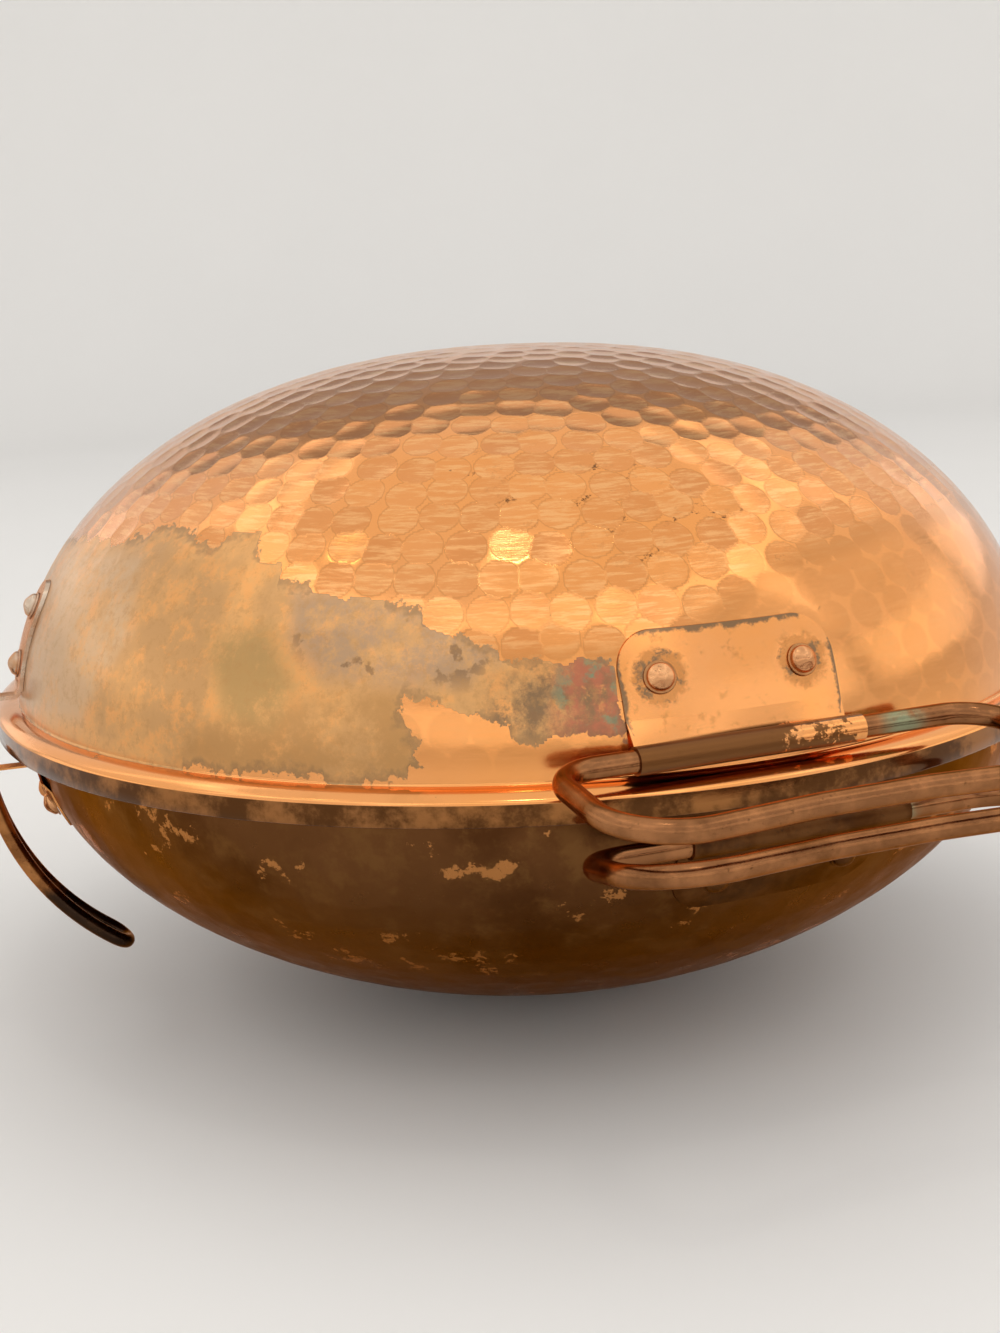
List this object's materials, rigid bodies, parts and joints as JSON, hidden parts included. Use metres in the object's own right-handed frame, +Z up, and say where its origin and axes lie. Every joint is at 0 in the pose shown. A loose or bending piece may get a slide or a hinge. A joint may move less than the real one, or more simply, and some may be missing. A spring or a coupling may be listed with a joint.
{
  "type": "cataplana",
  "caption": "Clam-shaped hammered copper cooking vessel: hinged domed lid on a round bowl, with loop handles at the front and a clamp at each side.",
  "frame": {"origin": "centre of the flat that the bowl rests on", "axes": "+Z up, -Y towards the front handles, +Y towards the hinge, clamps at -X and +X"},
  "size_m": [0.3554, 0.3961, 0.2055],
  "materials": {
    "lid_copper": "hand hammered copper, polished and patinated, tinned inside",
    "bowl_copper": "hand hammered copper, dark patina, tinned inside",
    "bracket_copper": "planished copper sheet with light tarnish",
    "rod_copper": "drawn copper rod, tarnished and pitted",
    "bail_copper": "drawn copper rod, dark at the tip",
    "rivet_copper": "hammered copper rivet heads, dulled",
    "washer_copper": "copper washers, tarnished",
    "keeper_tinned": "copper strap with worn tin, silvery beige",
    "pin_brass": "plain brass pin, dulled"
  },
  "bodies": {
    "bowl": {"bowl_shell": "bowl_copper", "bowl_handle_bracket": "bracket_copper", "bowl_handle_rivets": "rivet_copper", "bowl_handle_washers": "washer_copper", "hinge_bowl_leaf": "bracket_copper", "hinge_bowl_rivets": "rivet_copper", "hinge_bowl_washers": "washer_copper", "hinge_pin": "pin_brass", "left_clamp_bracket": "bracket_copper", "left_clamp_rivets": "rivet_copper", "left_clamp_washers": "washer_copper", "right_clamp_bracket": "bracket_copper", "right_clamp_rivets": "rivet_copper", "right_clamp_washers": "washer_copper"},
    "lid": {"lid_shell": "lid_copper", "lid_handle_bracket": "bracket_copper", "lid_handle_rivets": "rivet_copper", "lid_handle_washers": "washer_copper", "hinge_lid_leaf": "bracket_copper", "hinge_lid_rivets": "rivet_copper", "hinge_lid_washers": "washer_copper", "left_keeper": "keeper_tinned", "left_keeper_rivets": "rivet_copper", "left_keeper_washers": "washer_copper", "right_keeper": "keeper_tinned", "right_keeper_rivets": "rivet_copper", "right_keeper_washers": "washer_copper"},
    "lid_handle": {"lid_handle": "rod_copper"},
    "bowl_handle": {"bowl_handle": "rod_copper"},
    "left_bail": {"left_clamp_bail": "bail_copper"},
    "right_bail": {"right_clamp_bail": "bail_copper"}
  },
  "joints": [
    {"name": "lid_hinge", "type": "hinge", "parent": "bowl", "child": "lid", "pos_m": [0, 0.1765, 0.093], "axis": [-1, 0, 0], "range_deg": [0, 160]},
    {"name": "lid_handle_swing", "type": "hinge", "parent": "lid", "child": "lid_handle", "pos_m": [0, -0.16566, 0.1115], "axis": [-1, 0, 0], "range_deg": [0, 85]},
    {"name": "bowl_handle_swing", "type": "hinge", "parent": "bowl", "child": "bowl_handle", "pos_m": [0, -0.16256, 0.0865], "axis": [1, 0, 0], "range_deg": [0, 60]},
    {"name": "left_clamp_swing", "type": "hinge", "parent": "bowl", "child": "left_bail", "pos_m": [-0.17457, 0.01221, 0.0895], "axis": [0.0698, 0.9976, 0], "range_deg": [0, 180]},
    {"name": "right_clamp_swing", "type": "hinge", "parent": "bowl", "child": "right_bail", "pos_m": [0.17457, 0.01221, 0.0895], "axis": [0.0698, -0.9976, 0], "range_deg": [0, 180]}
  ]
}
